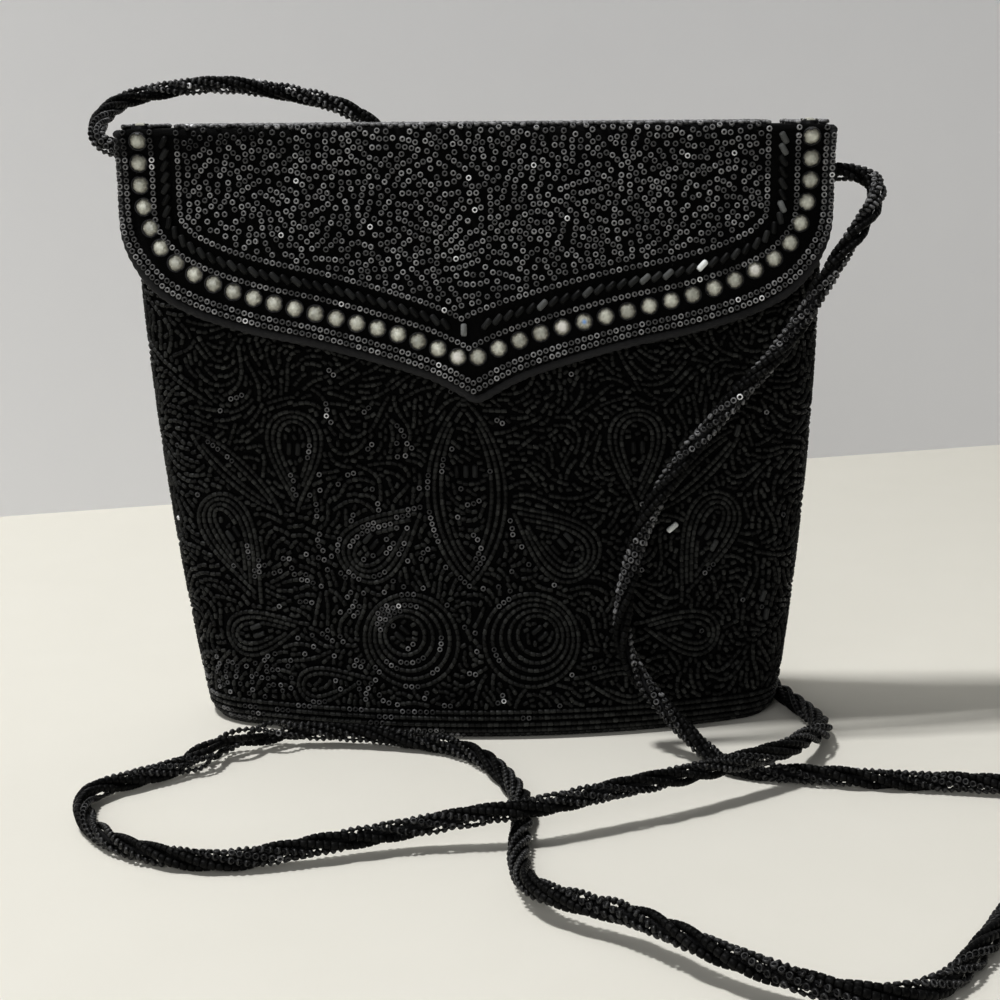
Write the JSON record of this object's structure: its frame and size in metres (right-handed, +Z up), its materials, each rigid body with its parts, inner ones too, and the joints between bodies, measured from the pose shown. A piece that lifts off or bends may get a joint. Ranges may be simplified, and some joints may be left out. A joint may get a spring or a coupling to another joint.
{
  "type": "evening bag",
  "caption": "Small beaded evening bag with an oval body, a pointed folding flap edged with rhinestones, a magnetic snap and a twisted bead shoulder strap.",
  "frame": {"origin": "centre of the base, on the surface that the bag stands on", "axes": "+Z up, front of the bag faces -Y, +X to the right of someone who looks at the front"},
  "size_m": [0.2626, 0.2261, 0.178],
  "materials": {
    "beaded_cloth": "black cloth covered with glossy black seed beads",
    "buckram": "stiff woven card",
    "satin_lining": "black satin",
    "piping_cord": "dark grey covered cord",
    "rhinestone": "pale domed stones in dark cups",
    "nickel": "nickel plate",
    "strap_thread": "black thread wrapping",
    "bead_rope": "twisted strings of black beads"
  },
  "bodies": {
    "bag": {"front_panel": "beaded_cloth", "back_panel": "beaded_cloth", "left_gusset": "beaded_cloth", "right_gusset": "beaded_cloth", "base_panel": "beaded_cloth", "front_stiffener": "buckram", "back_stiffener": "buckram", "base_board": "buckram", "front_lining": "satin_lining", "back_lining": "satin_lining", "left_gusset_lining": "satin_lining", "right_gusset_lining": "satin_lining", "base_lining": "satin_lining", "inner_pocket": "satin_lining", "snap_socket": "nickel", "snap_socket_washer": "nickel", "left_strap_end": "strap_thread", "right_strap_end": "strap_thread", "shoulder_strap": "bead_rope"},
    "flap_top": {"flap_top_panel": "beaded_cloth", "flap_top_stiffener": "buckram", "flap_top_lining": "satin_lining"},
    "flap_front": {"flap_panel": "beaded_cloth", "flap_stiffener": "buckram", "flap_lining": "satin_lining", "flap_piping": "piping_cord", "rhinestone_chain": "rhinestone", "snap_stud": "nickel", "snap_stud_washer": "nickel"}
  },
  "joints": [
    {"name": "back_fold", "type": "hinge", "parent": "bag", "child": "flap_top", "pos_m": [0, 0.00955, 0.16215], "axis": [-1, 0, 0], "range_deg": [0, 140]},
    {"name": "front_fold", "type": "hinge", "parent": "flap_top", "child": "flap_front", "pos_m": [0, -0.01605, 0.16215], "axis": [-1, 0, 0], "range_deg": [0, 80]}
  ]
}
